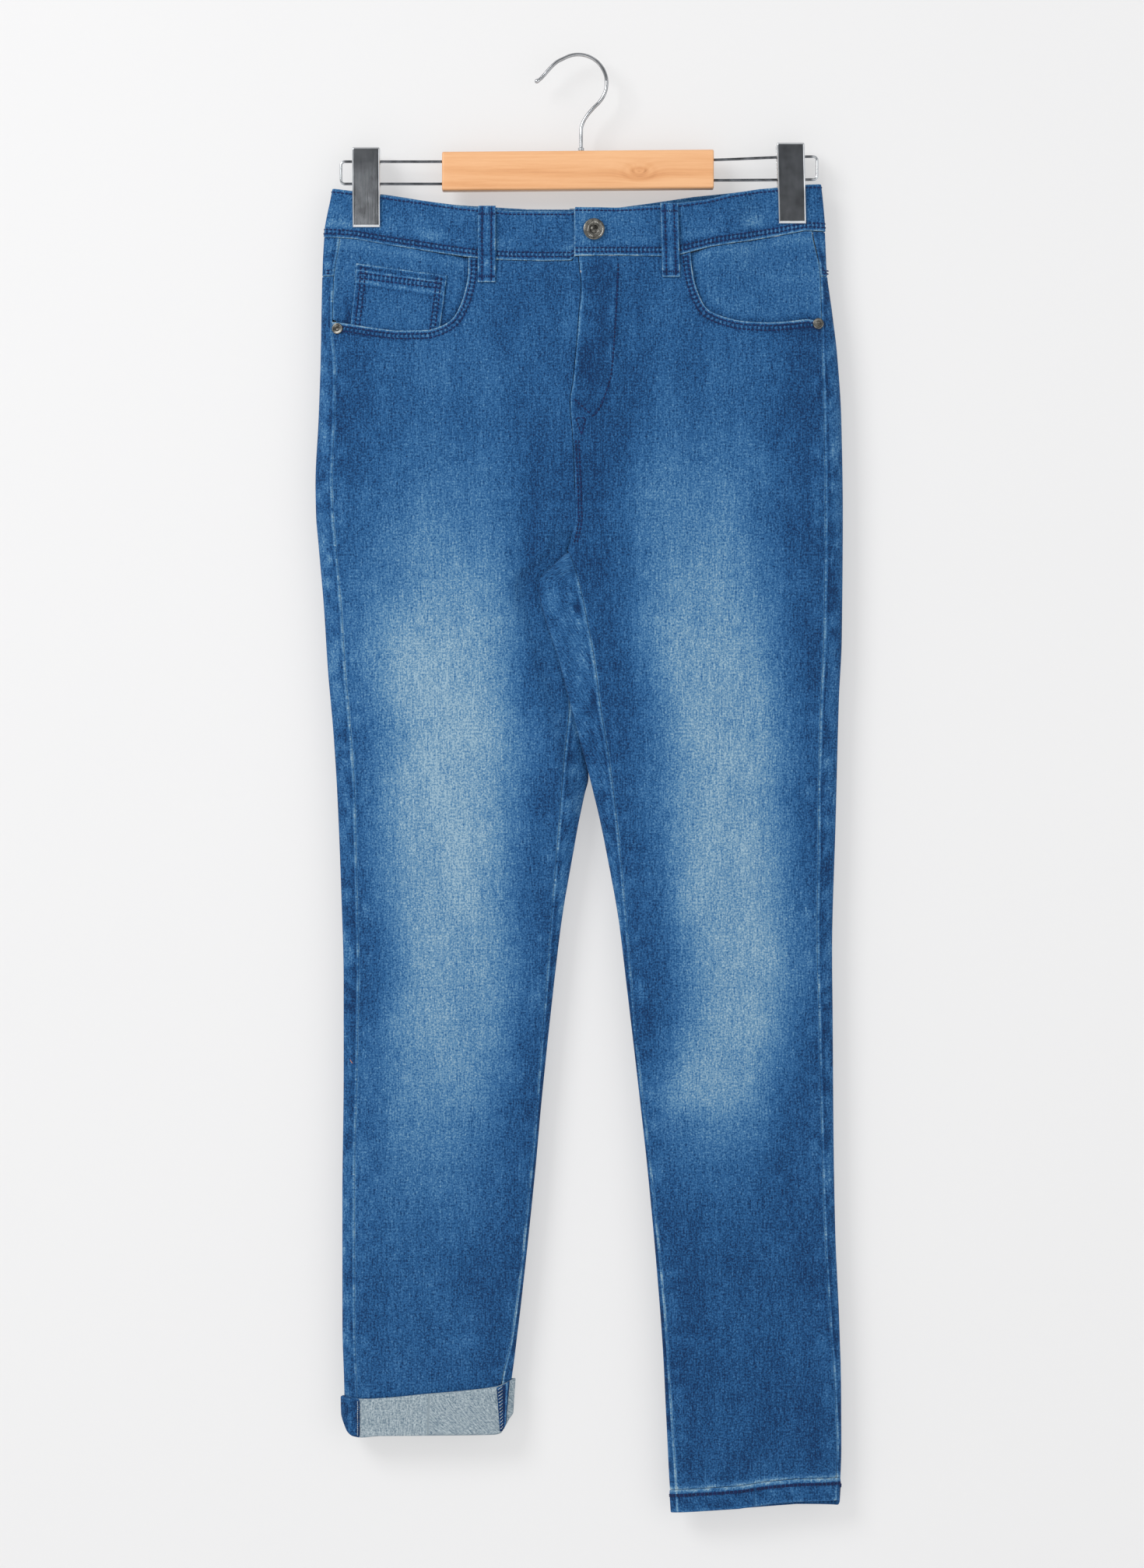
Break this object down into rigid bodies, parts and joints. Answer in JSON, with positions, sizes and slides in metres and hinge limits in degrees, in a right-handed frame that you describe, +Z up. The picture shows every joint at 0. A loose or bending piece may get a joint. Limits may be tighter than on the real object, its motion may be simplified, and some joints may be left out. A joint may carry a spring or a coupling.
{
  "type": "slim fit jeans on a clip hanger",
  "caption": "Slim fit denim jeans hanging from a clip hanger by the waistband, with a button and zip fly, scoop front pockets, belt loops and a turn-up on the right leg.",
  "frame": {"origin": "inner top of the hook, where a rail carries the hanger", "axes": "+Z up along the garment, -Y towards the front of the jeans, +X towards the wearer's left leg"},
  "size_m": [0.4201, 0.0278, 1.1638],
  "materials": {
    "denim": "mid blue washed denim, right side out",
    "denim_front": "mid blue denim with a pale wash down the thighs",
    "denim_reverse": "pale grey-blue reverse of the denim",
    "denim_dark": "dark blue seam allowance and zip tape",
    "trim_metal": "aged steel",
    "chrome_steel": "bright chrome",
    "wood": "pale varnished wood"
  },
  "bodies": {
    "root": {"front_right": "denim_front", "front_left": "denim_front", "back_right": "denim", "back_left": "denim", "yoke_right": "denim", "yoke_left": "denim", "pocket_facing_right": "denim", "pocket_facing_left": "denim", "coin_pocket": "denim_front", "fly_shield": "denim", "fly_zip": "denim_dark", "waistband": "denim", "back_pocket_right": "denim_front", "back_pocket_left": "denim_front", "belt_loop_front_right": "denim", "belt_loop_front_left": "denim", "belt_loop_side_right": "denim", "belt_loop_side_left": "denim", "belt_loop_back": "denim", "hem_left": "denim", "cuff_right": "denim_reverse", "cuff_allowance_outer": "denim_dark", "cuff_allowance_inner": "denim_dark", "tack_button": "trim_metal", "rivet_right": "trim_metal", "rivet_left": "trim_metal", "hook": "chrome_steel", "hanger_bar": "wood", "wire_right": "chrome_steel", "wire_left": "chrome_steel", "clip_front_right": "chrome_steel", "clip_back_right": "chrome_steel", "clip_front_left": "chrome_steel", "clip_back_left": "chrome_steel", "clip_runner_right": "chrome_steel", "clip_runner_left": "chrome_steel"}
  },
  "joints": []
}
